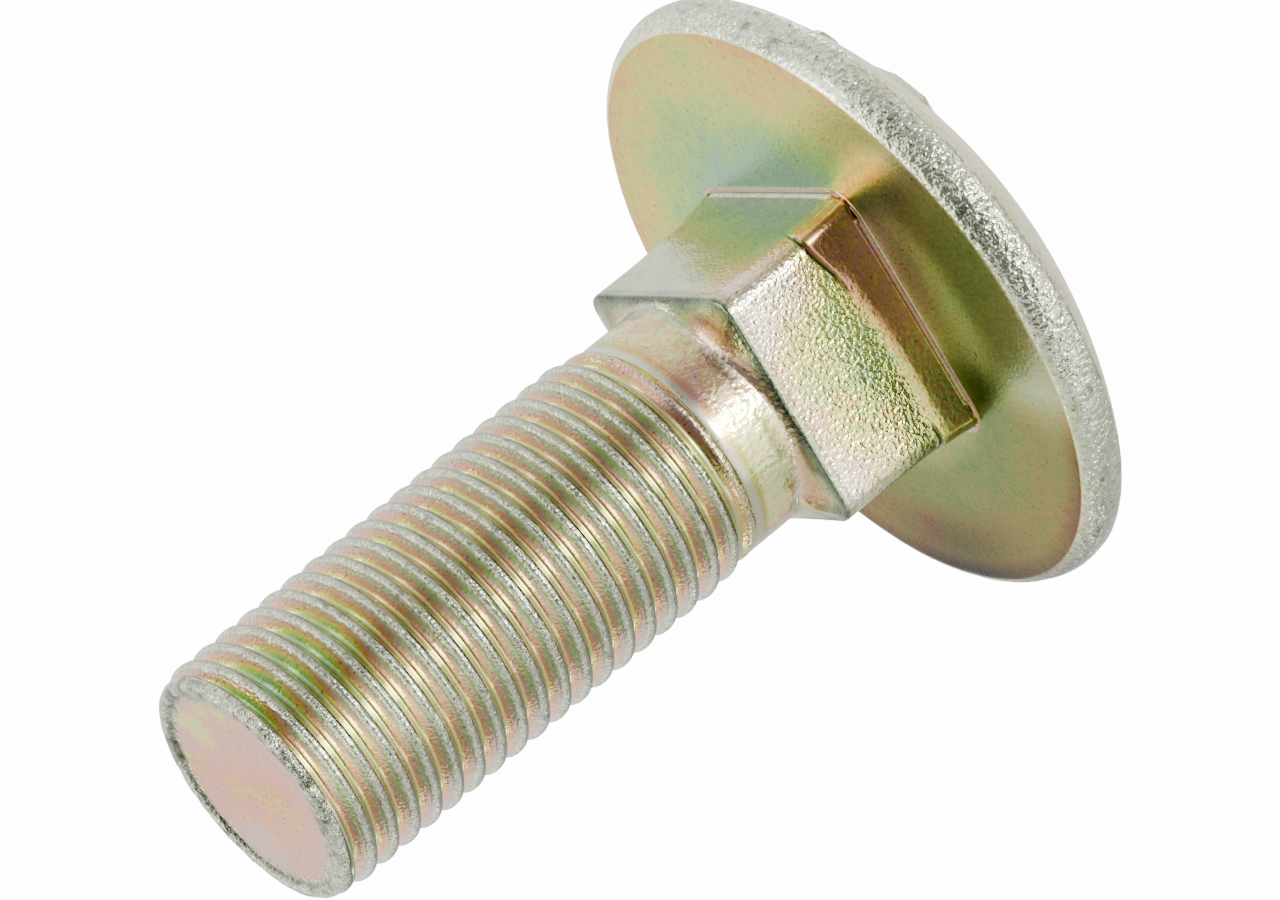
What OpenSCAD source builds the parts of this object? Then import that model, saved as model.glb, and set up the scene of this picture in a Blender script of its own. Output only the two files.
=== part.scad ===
// Carriage bolt with a mushroom head, a square neck and a rolled fine thread.
// One solid, forged and rolled in one piece, with a yellow passivated zinc finish.
// It stands on the crown of its head: Z runs up along the bolt from the crown to the tip,
// and the flats of the neck face X and Y. All sizes are in millimetres.

/* [Head] */
// Diameter of the head at its widest point
head_d = 30.2; // [26:0.1:34]
// Height of the head from the crown to the bearing face
head_h = 7; // [6.2:0.1:8.5]
// Radius of the domed crown
crown_r = 24.2; // [23:0.1:36]
// Diameter of the small flat in the middle of the crown
crown_flat_d = 4.8; // [1:0.1:6]
// Radius of the barrel shaped rim
rim_r = 1.6; // [1.2:0.05:2.2]
// Distance from the bearing face down to the widest point of the rim
rim_drop = 1.3; // [0.8:0.05:1.6]

/* [Marks on the crown] */
// How far the raised pads stand out of the crown
pad_rise = 0.25; // [0.1:0.05:0.6]
// Distance of the long pads from the axis
pad_place_r = 11.4; // [6:0.1:12]
// Length of the long pads
pad_l = 2.6; // [1.5:0.1:5]
// Width of the pads
pad_w = 1.2; // [0.8:0.1:2.4]
// Turn of the first long pad round the axis
pad_angle = 48; // [-90:1:90]
// Distance of the round pads from the axis
dot_place_r = 11.9; // [8:0.1:12.8]
// Turn from a long pad to the round pad beside it
dot_turn = 23; // [20:1:120]

/* [Neck] */
// Width of the square neck across its flats
neck_w = 11.6; // [11.3:0.1:12.7]
// Length of the square neck from the bearing face to the shoulder
neck_l = 7.3; // [6:0.1:8.8]
// Radius on the four long edges of the neck
neck_edge_r = 1; // [0.5:0.1:2]
// How far the top of the collar next to the head stands proud of the two flats that face X
collar_step = 0.14; // [0.05:0.01:0.4]
// How much further each side of the collar spreads down to the bearing face
collar_draft = 0.16; // [0.05:0.01:0.4]
// Height of that collar over the bearing face
collar_h = 2.1; // [1:0.1:3]
// How far the thin line of flash at the bearing face stands out of the collar
flash_out = 0.22; // [0.05:0.01:0.5]
// Thickness of the flash
flash_h = 0.3; // [0.1:0.05:0.6]
// Radius on the corners of the flash
flash_edge_r = 1.5; // [0.8:0.1:2.2]
// Length of the shoulder, over which the square falls to the round shank
shoulder_l = 0.6; // [0.3:0.05:1.2]

/* [Shank] */
// Length of the bolt from the bearing face to the tip
bolt_l = 35; // [28:0.5:60]
// Diameter of the plain shank, the blank on which the thread is rolled
shank_d = 11.1; // [10.8:0.05:11.5]

/* [Thread] */
// Diameter over the crests of the thread
crest_d = 11.8; // [11.7:0.05:12]
// Distance from one crest to the next
pitch = 1.25; // [1:0.05:1.75]
// Length of the thread with its run-out, measured from the tip
thread_l = 24.4; // [16:0.1:26]
// Length over which the last turns fade into the shank
runout_l = 2; // [1:0.1:4]
// Turn of the thread round the axis
thread_turn = 198; // [0:1:359]
// Flat sides to one turn of the thread
thread_sides = 40; // [24:4:44]

/* [Tip] */
// Diameter of the round lip at the tip
tip_d = 11.2; // [11:0.1:11.5]
// Length of the lip at its edge
tip_l = 0.6; // [0.5:0.05:1]
// Radius on the edge of the lip
lip_r = 0.3; // [0.1:0.05:0.3]
// Diameter of the flat floor of the dished end
dish_d = 9.5; // [8:0.1:9.6]
// Depth of the dish
dish_depth = 0.2; // [0.1:0.05:0.35]
// Length over which the underside of the lip slopes down into the first groove
lip_slope_l = 0.25; // [0.15:0.05:0.4]

/* [Hidden] */
$fn = 96;

finish = [0.72, 0.67, 0.42];

// Head
head_r = head_d / 2;
flat_sag = crown_r - sqrt(crown_r * crown_r - crown_flat_d * crown_flat_d / 4);
crown_z = crown_r - flat_sag;
rim_ring_r = head_r - rim_r;
rim_z = head_h - rim_drop;

// Neck
neck_z = head_h + neck_l;
collar_top_w = neck_w + 2 * collar_step;
collar_base_w = collar_top_w + 2 * collar_draft;
flash_w = collar_base_w + 2 * flash_out;
collar_root = head_h - rim_z;
collar_root_w = collar_base_w + 2 * collar_draft * collar_root / collar_h;
corner_r = neck_w / sqrt(2) - neck_edge_r * (sqrt(2) - 1);
shoulder_z = neck_z + shoulder_l;
shoulder_seat = 0.03;
shoulder_end_r = shank_d / 2 + shoulder_seat;

// Thread, of the metric form with sides at 60 degrees to each other
overall_l = head_h + bolt_l;
thread_z = overall_l - thread_l;
crest_r = crest_d / 2;
depth_per_pitch = 0.534;
crest_flat = 0.216;
crest_edge = 0.05;
edge_level = 0.88;
side_run = depth_per_pitch * tan(30);
root_flat = 1 - crest_flat - 2 * side_run;
root_r = crest_r - depth_per_pitch * pitch;
thread_seat = 0.06;
fade_r = shank_d / 2 - thread_seat;
sink = 0.5;
base_z = thread_z - sink;
end_z = overall_l - tip_l;
tip_r = tip_d / 2;
core_r = root_r - thread_seat;
row_starts = [
    0,
    crest_edge,
    crest_flat - crest_edge,
    crest_flat,
    crest_flat + side_run,
    crest_flat + side_run + root_flat
];
row_levels = [edge_level, 1, 1, edge_level, 0, 0];
rows_per_turn = len(row_starts);
turns = ceil((end_z - base_z) / pitch) + 2;
row_count = turns * rows_per_turn;

// Part of the full thread height at a share f of the pitch: 1 on the crest, 0 in the root
function level(f) =
    lookup(f, [for (i = [0 : rows_per_turn]) [
        i < rows_per_turn ? row_starts[i] : 1,
        row_levels[i % rows_per_turn]
    ]]);

// Share of the pitch at side s and height z
function share(s, z) =
    let (q = (z - base_z) / pitch - s / thread_sides - thread_turn / 360)
    q - floor(q);

// The thread grows out of the shank over the run-out
function grown(z) = max(0, min(1, (z - thread_z) / runout_l));

// Radius of the threaded surface at side s and height z
function thread_radius(s, z) =
    let (full = root_r + (crest_r - root_r) * level(share(s, z)))
    fade_r + (full - fade_r) * grown(z);

// Height of row i at side s before it is cut off at the ends
function row_z(i, s) =
    base_z
    + pitch * (floor(i / rows_per_turn) - 1 + row_starts[i % rows_per_turn]
        + s / thread_sides + (thread_turn % 360) / 360 - 1);

// First and last row that lie within the thread at side s
function low_row(s) = max([for (i = [0 : row_count - 1]) if (row_z(i, s) <= base_z) i]);
function high_row(s) = min([for (i = [0 : row_count + rows_per_turn]) if (row_z(i, s) >= end_z) i]);

// Head: a dome, a flat bearing face and a rim with a barrel shaped edge
module head() {
    rotate_extrude()
        intersection() {
            translate([0, crown_z]) circle(r = crown_r, $fn = 240);
            square([head_r, head_h]);
            union() {
                square([rim_ring_r, head_h]);
                translate([rim_ring_r, rim_z]) circle(r = rim_r);
            }
        }
}

// A raised pad with round ends that follows the dome
module pad(place_r, turn, l) {
    straight = l - pad_w;
    intersection() {
        translate([0, 0, crown_z]) sphere(r = crown_r + pad_rise, $fn = 240);
        rotate([0, 0, turn])
            translate([place_r, 0, 0])
            linear_extrude(rim_z)
            union() {
                if (straight > 0) square([pad_w, straight], center = true);
                for (side = [-1, 1])
                    translate([0, side * max(straight, 0) / 2]) circle(d = pad_w, $fn = 32);
            }
    }
}

module crown_marks() {
    for (half = [0, 180]) {
        pad(pad_place_r, pad_angle + half, pad_l);
        pad(dot_place_r, pad_angle + dot_turn + half, pad_w);
    }
}

module rounded_square(w, r) {
    square([w, w - 2 * r], center = true);
    square([w - 2 * r, w], center = true);
    for (x = [-1, 1], y = [-1, 1])
        translate([x * (w / 2 - r), y * (w / 2 - r)]) circle(r = r, $fn = 48);
}

// Neck: a square bar whose shoulder falls to the round shank, with a collar and
// a thin line of flash where the die closed on the head
module neck() {
    intersection() {
        translate([0, 0, rim_z]) linear_extrude(shoulder_z - rim_z) rounded_square(neck_w, neck_edge_r);
        shoulder_cone();
        shoulder_side(0);
        shoulder_side(90);
    }
    intersection() {
        collar_side(0, collar_top_w);
        collar_side(90, neck_w);
        translate([0, 0, rim_z])
            linear_extrude(collar_root + collar_h)
            rounded_square(collar_root_w, neck_edge_r);
    }
    translate([0, 0, rim_z])
        linear_extrude(collar_root + flash_h)
        rounded_square(flash_w, flash_edge_r);
}

// A round body whose top edge slopes to the shank, to cut the corners at the shoulder
module shoulder_cone() {
    fall = shoulder_l / (corner_r - shoulder_end_r);
    rotate_extrude()
        polygon([
            [0, 0],
            [flash_w, 0],
            [flash_w, shoulder_z - fall * (flash_w - shoulder_end_r)],
            [shoulder_end_r, shoulder_z],
            [0, shoulder_z]
        ]);
}

// A slab that narrows to the shank over the shoulder, on two opposite sides
module shoulder_side(turn) {
    rotate([90, 0, turn])
        linear_extrude(flash_w * 2, center = true)
        polygon([
            [-neck_w, 0],
            [neck_w, 0],
            [neck_w / 2, neck_z],
            [shoulder_end_r, shoulder_z],
            [-shoulder_end_r, shoulder_z],
            [-neck_w / 2, neck_z]
        ]);
}

// A slab that spreads towards the head by the draft of the die, on two opposite sides
module collar_side(turn, top_w) {
    rotate([90, 0, turn])
        linear_extrude(flash_w * 2, center = true)
        polygon([
            [-collar_root_w / 2, rim_z],
            [collar_root_w / 2, rim_z],
            [top_w / 2, head_h + collar_h],
            [-top_w / 2, head_h + collar_h]
        ]);
}

module shank() {
    translate([0, 0, rim_z]) cylinder(d = shank_d, h = thread_z - rim_z);
}

// Thread: a helical surface in one piece, from inside the shank to the lip
module thread() {
    sides = [0 : thread_sides - 1];
    lows = [for (s = [0 : thread_sides]) low_row(s)];
    highs = [for (s = [0 : thread_sides]) high_row(s)];
    starts = [for (s = 0, n = 0; s <= thread_sides; n = n + highs[s] - lows[s] + 1, s = s + 1) n];
    points = [
        for (s = sides, i = [lows[s] : highs[s]])
            let (z = max(base_z, min(end_z, row_z(i, s))), r = thread_radius(s, z))
            [r * cos(360 * s / thread_sides), r * sin(360 * s / thread_sides), z]
    ];
    bottom = len(points);
    top = bottom + 1;
    function spot(i, s) =
        s < thread_sides
        ? starts[s] + max(lows[s], min(highs[s], i)) - lows[s]
        : spot(i + rows_per_turn, 0);
    cells = [
        for (s = sides, i = [0 : row_count + rows_per_turn])
            let (a = spot(i, s), b = spot(i, s + 1), c = spot(i + 1, s + 1), d = spot(i + 1, s))
            each [[a, c, b], [a, d, c]]
    ];
    skin = [for (t = cells) if (t[0] != t[1] && t[1] != t[2] && t[0] != t[2]) t];
    base_cap = [for (s = sides) [bottom, spot(0, s), spot(0, (s + 1) % thread_sides)]];
    last = row_count + 2 * rows_per_turn;
    top_cap = [for (s = sides) [top, spot(last, (s + 1) % thread_sides), spot(last, s)]];
    polyhedron(concat(points, [[0, 0, base_z], [0, 0, end_z]]), concat(skin, base_cap, top_cap));
}

// Tip: the round lip that rolling leaves at the end of the blank, dished in the middle
module tip() {
    top = tip_l + sink;
    translate([0, 0, end_z - sink])
        rotate_extrude()
        difference() {
            union() {
                polygon([
                    [0, 0],
                    [core_r, 0],
                    [core_r, sink - lip_slope_l],
                    [tip_r, sink],
                    [tip_r, top - lip_r],
                    [tip_r - lip_r, top - lip_r],
                    [tip_r - lip_r, top],
                    [0, top]
                ]);
                translate([tip_r - lip_r, top - lip_r]) circle(r = lip_r, $fn = 32);
            }
            polygon([
                [0, top - dish_depth],
                [dish_d / 2, top - dish_depth],
                [dish_d / 2 + dish_depth, top],
                [dish_d / 2 + dish_depth, top + sink],
                [0, top + sink]
            ]);
        }
}

module carriage_bolt() {
    color(finish)
        union() {
            head();
            crown_marks();
            neck();
            shank();
            thread();
            tip();
        }
}

carriage_bolt();
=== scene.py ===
import math

import bpy
import numpy as np
from mathutils import Matrix, Vector


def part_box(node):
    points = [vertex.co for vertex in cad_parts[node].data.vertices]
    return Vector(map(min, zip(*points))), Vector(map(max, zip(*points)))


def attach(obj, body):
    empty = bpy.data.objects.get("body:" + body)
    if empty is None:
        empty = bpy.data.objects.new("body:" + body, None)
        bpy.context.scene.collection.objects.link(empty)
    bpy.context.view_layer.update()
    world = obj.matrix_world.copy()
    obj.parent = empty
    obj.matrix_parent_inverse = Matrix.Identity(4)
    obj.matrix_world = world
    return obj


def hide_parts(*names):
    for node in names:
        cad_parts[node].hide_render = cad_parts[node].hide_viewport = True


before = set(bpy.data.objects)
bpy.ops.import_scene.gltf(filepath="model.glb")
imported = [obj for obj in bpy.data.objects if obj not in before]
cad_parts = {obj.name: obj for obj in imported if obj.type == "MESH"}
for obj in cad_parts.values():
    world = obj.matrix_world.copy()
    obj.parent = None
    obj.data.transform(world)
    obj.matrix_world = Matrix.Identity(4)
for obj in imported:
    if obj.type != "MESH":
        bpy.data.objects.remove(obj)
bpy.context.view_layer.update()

bl_info = {
    "name": "Carriage bolt with a square neck",
    "version": (1, 0, 0),
    "blender": (4, 5, 0),
    "location": "3D View > Sidebar > Carriage Bolt",
    "description": "Builds a carriage bolt in yellow chromated zinc on a pale studio floor",
    "category": "Add Mesh",
}

MM = 0.001
FULL_TURN = 2 * math.pi
NODE = "carriage_bolt"
SEED = 20

# Columns of the mesh round the axis, which crowd together at the corners of the neck
COLUMNS = 200
CORNER_CROWDING = 0.5

SOLID_LOW, SOLID_HIGH = (Vector(corner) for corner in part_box(NODE))


# Settings that a user would change

class BoltHeadSizes(bpy.types.PropertyGroup):
    diameter: bpy.props.FloatProperty(
        name="Head diameter", description="Widest diameter of the domed head",
        default=30.2 * MM, min=26 * MM, max=34 * MM, unit="LENGTH", subtype="DISTANCE")
    height: bpy.props.FloatProperty(
        name="Head height", description="From the crown to the bearing face",
        default=7.0 * MM, min=6.2 * MM, max=8.5 * MM, unit="LENGTH", subtype="DISTANCE")
    crown_radius: bpy.props.FloatProperty(
        name="Crown radius", description="Radius of the dome",
        default=24.2 * MM, min=23 * MM, max=36 * MM, unit="LENGTH", subtype="DISTANCE")
    crown_flat: bpy.props.FloatProperty(
        name="Crown flat", description="Diameter of the small flat in the middle of the crown",
        default=4.8 * MM, min=1 * MM, max=6 * MM, unit="LENGTH", subtype="DISTANCE")
    rim_radius: bpy.props.FloatProperty(
        name="Rim radius", description="Radius of the barrel shaped rim",
        default=1.6 * MM, min=1.2 * MM, max=2.2 * MM, unit="LENGTH", subtype="DISTANCE")
    pad_rise: bpy.props.FloatProperty(
        name="Pad rise", description="How far the plain pads stand out of the crown",
        default=0.25 * MM, min=0.1 * MM, max=0.6 * MM, unit="LENGTH", subtype="DISTANCE")


class BoltNeckSizes(bpy.types.PropertyGroup):
    width: bpy.props.FloatProperty(
        name="Neck width", description="Width of the square neck across its flats",
        default=11.6 * MM, min=11.3 * MM, max=12.7 * MM, unit="LENGTH", subtype="DISTANCE")
    length: bpy.props.FloatProperty(
        name="Neck length", description="From the bearing face to the round shank",
        default=7.3 * MM, min=6 * MM, max=8.8 * MM, unit="LENGTH", subtype="DISTANCE")
    edge_radius: bpy.props.FloatProperty(
        name="Edge radius", description="Radius on the four long edges of the neck",
        default=1.0 * MM, min=0.5 * MM, max=2 * MM, unit="LENGTH", subtype="DISTANCE")
    collar_height: bpy.props.FloatProperty(
        name="Collar height", description="Height of the smooth collar over the bearing face",
        default=2.1 * MM, min=1 * MM, max=3 * MM, unit="LENGTH", subtype="DISTANCE")


class BoltThreadSizes(bpy.types.PropertyGroup):
    crest_diameter: bpy.props.FloatProperty(
        name="Crest diameter", description="Diameter over the crests",
        default=11.8 * MM, min=11.7 * MM, max=12 * MM, unit="LENGTH", subtype="DISTANCE")
    shank_diameter: bpy.props.FloatProperty(
        name="Shank diameter", description="Diameter of the plain shank",
        default=11.1 * MM, min=10.8 * MM, max=11.5 * MM, unit="LENGTH", subtype="DISTANCE")
    pitch: bpy.props.FloatProperty(
        name="Pitch", description="Distance from one crest to the next",
        default=1.25 * MM, min=1 * MM, max=1.75 * MM, unit="LENGTH", subtype="DISTANCE")
    length: bpy.props.FloatProperty(
        name="Thread length", description="Length of the thread, measured from the tip",
        default=24.4 * MM, min=16 * MM, max=26 * MM, unit="LENGTH", subtype="DISTANCE")
    turn: bpy.props.FloatProperty(
        name="Thread turn", description="Turn of the thread round the axis",
        default=math.radians(198), min=0, max=FULL_TURN, unit="ROTATION", subtype="ANGLE")


class BoltFinishColours(bpy.types.PropertyGroup):
    zinc: bpy.props.StringProperty(
        name="Rubbed zinc", description="sRGB hex colour of the zinc where the film is rubbed thin",
        default="#d3d8bc")
    # The soil colour also paints shade in creases and cracks
    soil_and_shade: bpy.props.StringProperty(
        name="Soil", description="sRGB hex colour of what sits in pits and creases",
        default="#2b2318")


class BoltStageSettings(bpy.types.PropertyGroup):
    floor_size: bpy.props.FloatProperty(
        name="Floor size", description="Side of the pale floor",
        default=3.0, min=1.0, max=10.0, unit="LENGTH", subtype="DISTANCE")
    floor_glow: bpy.props.FloatProperty(
        name="Floor glow", description="Light that comes through the pale sheet from below",
        default=13.0, min=0, max=20)
    key_power: bpy.props.FloatProperty(
        name="Key light", description="Strength of the large soft light",
        default=9.0, min=0, max=1000, unit="POWER")
    surround: bpy.props.FloatProperty(
        name="Surround", description="Strength of the white tent round the part",
        default=1.9, min=0, max=10)


# Small sums that the shapes and the paint share

def linear(hex_colour):
    """Turn an sRGB hex colour into the linear colour that shaders use."""
    text = hex_colour.lstrip("#")
    channels = [int(text[start:start + 2], 16) / 255 for start in (0, 2, 4)]
    return tuple(c / 12.92 if c <= 0.04045 else ((c + 0.055) / 1.055) ** 2.4 for c in channels) + (1.0,)


def eased(low, high, value):
    """A smooth step from 0 at low to 1 at high."""
    share = np.clip((value - low) / (high - low), 0, 1)
    return share * share * (3 - 2 * share)


def bell(centre, width, value):
    """1 at the centre, fading smoothly to 0 over the width on both sides."""
    return np.exp(-((value - centre) / width) ** 2)


def mixed(base, other, share):
    """The base where the share is 0 and the other where it is 1."""
    return base * (1 - share) + other * share


def azimuth_gap(turn, centre_degrees):
    """Signed angle in degrees between each turn and a centre, from -180 to 180."""
    return (np.degrees(turn) - centre_degrees + 180) % 360 - 180


def on_circle(radius, turn):
    """X and Y at a distance from the axis."""
    return radius * np.cos(turn), radius * np.sin(turn)


def square_radius(turn, half_width, edge_radius):
    """Distance from the axis to a rounded square at each turn."""
    quarter = np.abs((turn + math.pi / 4) % (math.pi / 2) - math.pi / 4)
    straight = half_width / np.cos(quarter)
    reach = math.sqrt(2) * (half_width - edge_radius)
    off_corner = math.pi / 4 - quarter
    round_part = reach * np.cos(off_corner) + np.sqrt(
        np.maximum(edge_radius ** 2 - (reach * np.sin(off_corner)) ** 2, 0))
    on_flat = np.tan(quarter) * half_width <= half_width - edge_radius
    return np.where(on_flat, straight, round_part)


def distance_along(path):
    """Distance from the start of a path to each of its points."""
    return np.concatenate([[0], np.cumsum(np.hypot(*np.diff(path, axis=0).T))])


def rounded_path(path, blur):
    """The path with its corners rounded over the blur, sampled at even steps."""
    per_blur, tail = 8, 24
    run = distance_along(path)
    fine = np.arange(0, run[-1], blur / per_blur)
    even = np.stack([np.interp(fine, run, path[:, axis]) for axis in range(2)], 1)
    kernel = np.exp(-0.5 * (np.arange(-tail, tail + 1) / per_blur) ** 2)
    kernel /= kernel.sum()
    before = 2 * even[0] - even[tail:0:-1]
    beyond = 2 * even[-1] - even[-2:-tail - 2:-1]
    padded = np.concatenate([before, even, beyond])
    return np.stack([np.convolve(padded[:, axis], kernel, "valid") for axis in range(2)], 1)


class Lumps:
    """Smooth seeded noise from -1 to 1 over points in space, for the unevenness of forging."""

    def __init__(self, seed):
        rng = np.random.default_rng(seed)
        self.table = rng.uniform(-1, 1, 4096)

    def at(self, x, y, z, size):
        """Noise at the points, with lumps of the given size."""
        place = [np.asarray(axis, dtype=float) / size for axis in (x, y, z)]
        cell = [np.floor(axis).astype(np.int64) for axis in place]
        inside = [axis - base for axis, base in zip(place, cell)]
        soft = [t * t * (3 - 2 * t) for t in inside]
        total = 0
        for corner in range(8):
            step = [corner >> axis & 1 for axis in range(3)]
            hashed = (cell[0] + step[0]) * 73856093 ^ (cell[1] + step[1]) * 19349663 \
                ^ (cell[2] + step[2]) * 83492791
            weight = 1
            for axis in range(3):
                weight = weight * (soft[axis] if step[axis] else 1 - soft[axis])
            total = total + weight * self.table[hashed % len(self.table)]
        return total


# The skin of the bolt, in millimetres and with azimuths in degrees, as rings of one point for each column

BEARING_FACE, DOME, RIM, NECK, SHANK, THREAD, END = range(7)
# The tone scales the colour and carries painted shade and painted highlights as well as unevenness; the soil
# marks carry dirt and painted shade
PAINT = ("film", "pale", "rub", "grain", "soil_and_shade", "tone")


class Skin:
    """Rings of points from the crown to the shank, with what is painted on them."""

    def __init__(self):
        self.columns = FULL_TURN * np.arange(COLUMNS) / COLUMNS
        self.rings = []
        self.zones = []
        self.lumps = Lumps(SEED)

    def turns(self, crowding):
        """Azimuth of each column, crowded towards the corners of the square by a share."""
        return self.columns + crowding * CORNER_CROWDING * np.sin(4 * self.columns) / 4

    def add(self, turn, radius, height, zone, film, pale=0, rub=0, grain=0.5, soil_and_shade=0, tone=1):
        """Add a ring of points, with the finish of the strip below it and its paint."""
        full = [np.broadcast_to(np.asarray(part, dtype=float), turn.shape)
                for part in (turn, radius, height, film, pale, rub, grain, soil_and_shade, tone)]
        self.rings.append(np.stack(full))
        self.zones.append(zone)


# Head: the dome with its pads, the rim and the bearing face

RIM_DROP = 1.3
EDGE_BLUR = 0.16
BEARING_OUTER = 13.1
BEARING_INNER = 11.0
BEARING_SINK = 0.012

# Azimuth, distance from the axis and length of each plain pad on the dome, and the width of all of them
PADS = ((48, 11.4, 2.6), (71, 11.9, 1.2), (228, 11.4, 2.6), (251, 11.9, 1.2))
PAD_WIDTH = 1.2


def dome_profile(head):
    """Radius and height along the dome, round the rim and onto the bearing face."""
    crown_r = head.crown_radius / MM
    rim_r = head.rim_radius / MM
    head_r = head.diameter / MM / 2
    head_h = head.height / MM
    flat_r = head.crown_flat / MM / 2
    centre_z = math.sqrt(crown_r ** 2 - flat_r ** 2)
    ring_r, ring_z = head_r - rim_r, head_h - RIM_DROP
    radius = flat_r + (head_r - flat_r) * np.linspace(0, 1, 400)
    dome_z = centre_z - np.sqrt(crown_r ** 2 - radius ** 2)
    inside_rim = (radius < ring_r) | (np.hypot(radius - ring_r, dome_z - ring_z) < rim_r)
    dome = np.stack([radius, dome_z], 1)[inside_rim]
    start = math.atan2(dome[-1][1] - ring_z, dome[-1][0] - ring_r)
    end = math.asin((head_h - ring_z) / rim_r)
    angles = np.linspace(start, end, 120)[1:]
    rim = np.stack([ring_r + rim_r * np.cos(angles), ring_z + rim_r * np.sin(angles)], 1)
    inwards = np.linspace(rim[-1][0], BEARING_INNER, 120)[1:]
    face = np.stack([inwards, np.full_like(inwards, head_h)], 1)
    return np.concatenate([dome, rim, face])


def pad_cover(x, y):
    """Cover from 0 to 1 of the plain raised pads on the crown at each point."""
    cover = np.zeros_like(x)
    for azimuth, reach, length in PADS:
        angle = math.radians(azimuth)
        along = -x * math.sin(angle) + y * math.cos(angle)
        across = x * math.cos(angle) + y * math.sin(angle) - reach
        straight = max((length - PAD_WIDTH) / 2, 0)
        distance = np.hypot(np.maximum(np.abs(along) - straight, 0), across)
        cover = np.maximum(cover, 1 - eased(0.38, 0.68, distance))
    return cover


def head_rings(skin, head):
    """The dome with its plain pads, the uneven rim and the outer edge of the bearing face."""
    path = rounded_path(dome_profile(head), EDGE_BLUR)
    run = distance_along(path)
    run_at_rim = run[int(np.argmax(path[:, 0]))]

    def spot(stop):
        """Radius and height at a distance along the path."""
        return np.array([np.interp(stop, run, axis) for axis in path.T])

    stops = np.concatenate([
        np.linspace(0, 7.6, 7), np.linspace(8.4, 10.2, 4), np.linspace(10.4, 13.0, 15),
        np.linspace(13.3, 14.6, 5), np.linspace(14.8, run_at_rim - 0.6, 4),
        np.arange(run_at_rim - 0.5, run_at_rim + 2.0, 0.12),
        np.arange(run_at_rim + 2.1, run_at_rim + 2.6, 0.16)])
    turn = skin.turns(0)
    skin.add(turn, 0.02, SOLID_LOW.z / MM, DOME, 0.15, rub=0.6)
    for stop in stops:
        r, z = spot(stop)
        along_r, along_z = spot(stop + 0.05) - spot(stop - 0.05)
        slope = math.atan2(along_z, along_r)
        out_r, out_z = math.sin(slope), -math.cos(slope)
        x, y = on_circle(r, turn)
        level = np.full_like(x, z)
        from_rim = stop - run_at_rim
        on_rim = bell(0.3, 1.3, from_rim)

        # The dies left the dome nearly smooth and the rim lumpy, always inwards from the true form
        uneven = skin.lumps.at(x, y, level, 2.6)
        fine = skin.lumps.at(x, y, level, 0.8)
        dent = (0.012 + 0.05 * on_rim) * (uneven - 1) * 0.5 + 0.045 * on_rim * (fine - 1) * 0.5
        pads = pad_cover(x, y) if r < 13.4 and z < 6 else np.zeros_like(x)
        lift = pads * head.pad_rise / MM + dent
        zone = BEARING_FACE if from_rim > 1.62 else RIM if from_rim > -1.2 else DOME
        if zone == BEARING_FACE:
            film, pale, rub, grain, pits, tone = bearing_paint(skin, x, y, r)
        else:
            film, pale, rub, grain, pits, tone = dome_paint(skin, turn, x, y, z, from_rim)
        pad_side = np.minimum(1, 4.5 * pads * (1 - pads))
        film = mixed(film, 0.3, pad_side)
        tone = tone * (1 - 0.5 * pad_side)
        skin.add(turn, r + out_r * lift, np.maximum(z + out_z * lift, 0), zone,
                 film, pale * (1 - pad_side), rub * (1 - pad_side), grain, pits, tone)


def dome_paint(skin, turn, x, y, z, from_rim):
    """Paint of the dome and the rim, which tumbling rubbed nearly bare and soil pitted, with painted shade and
    painted highlights on the rim.
    """
    level = np.full_like(x, z)
    on_rim = bell(0.3, 1.3, from_rim)
    uneven = skin.lumps.at(x, y, level, 2.6)
    fine = skin.lumps.at(x, y, level, 0.8)
    blush = bell(-1.5, 0.8, from_rim) * (0.5 + 0.5 * skin.lumps.at(x, y, level, 1.3))
    film = 0.86 + 0.24 * blush + 0.16 * uneven + 0.06 * fine
    pale = np.clip(0.62 - 0.4 * blush + 0.2 * fine, 0, 1)
    pits = 0.7 * on_rim * eased(0.5, 0.85, skin.lumps.at(x, y, level, 0.42))
    rub = 0.25 + 0.6 * bell(0.35, 1.0, from_rim) + 0.15 * fine
    grain = 0.5 + 0.4 * on_rim + 0.2 * uneven

    # Painted shade low on one side; mottled towards +X with a band of painted shade; a painted highlight, and a
    # rubbed streak also painted as a highlight
    low_side = bell(0, 30, azimuth_gap(turn, -76)) * eased(5.6, 6.6, z)
    near_side = bell(0, 24, azimuth_gap(turn, 12)) * on_rim
    gleam = bell(6.0, 0.4, z) * bell(0, 14, azimuth_gap(turn, -14))
    rubbed_streak_and_highlight = bell(6.8, 0.2, z) * bell(0, 9, azimuth_gap(turn, 52))
    tone = (0.94 + (0.08 + 0.12 * near_side) * uneven + 0.5 * (1 - on_rim)) * (1 - 0.75 * low_side)
    tone = tone * (1 + 0.3 * near_side * (fine - 0.6)) * (1 + 0.5 * gleam)
    tone = tone * (1 - 0.35 * near_side * bell(6.75, 0.22, z)) * (1 + 0.5 * rubbed_streak_and_highlight)
    pale = np.clip(pale + 0.4 * gleam + 0.6 * rubbed_streak_and_highlight, 0, 1)
    rub = np.clip(rub + 0.5 * rubbed_streak_and_highlight, 0, 1)
    return film, pale, rub, grain * (1 - 0.7 * rubbed_streak_and_highlight), pits, tone


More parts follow.
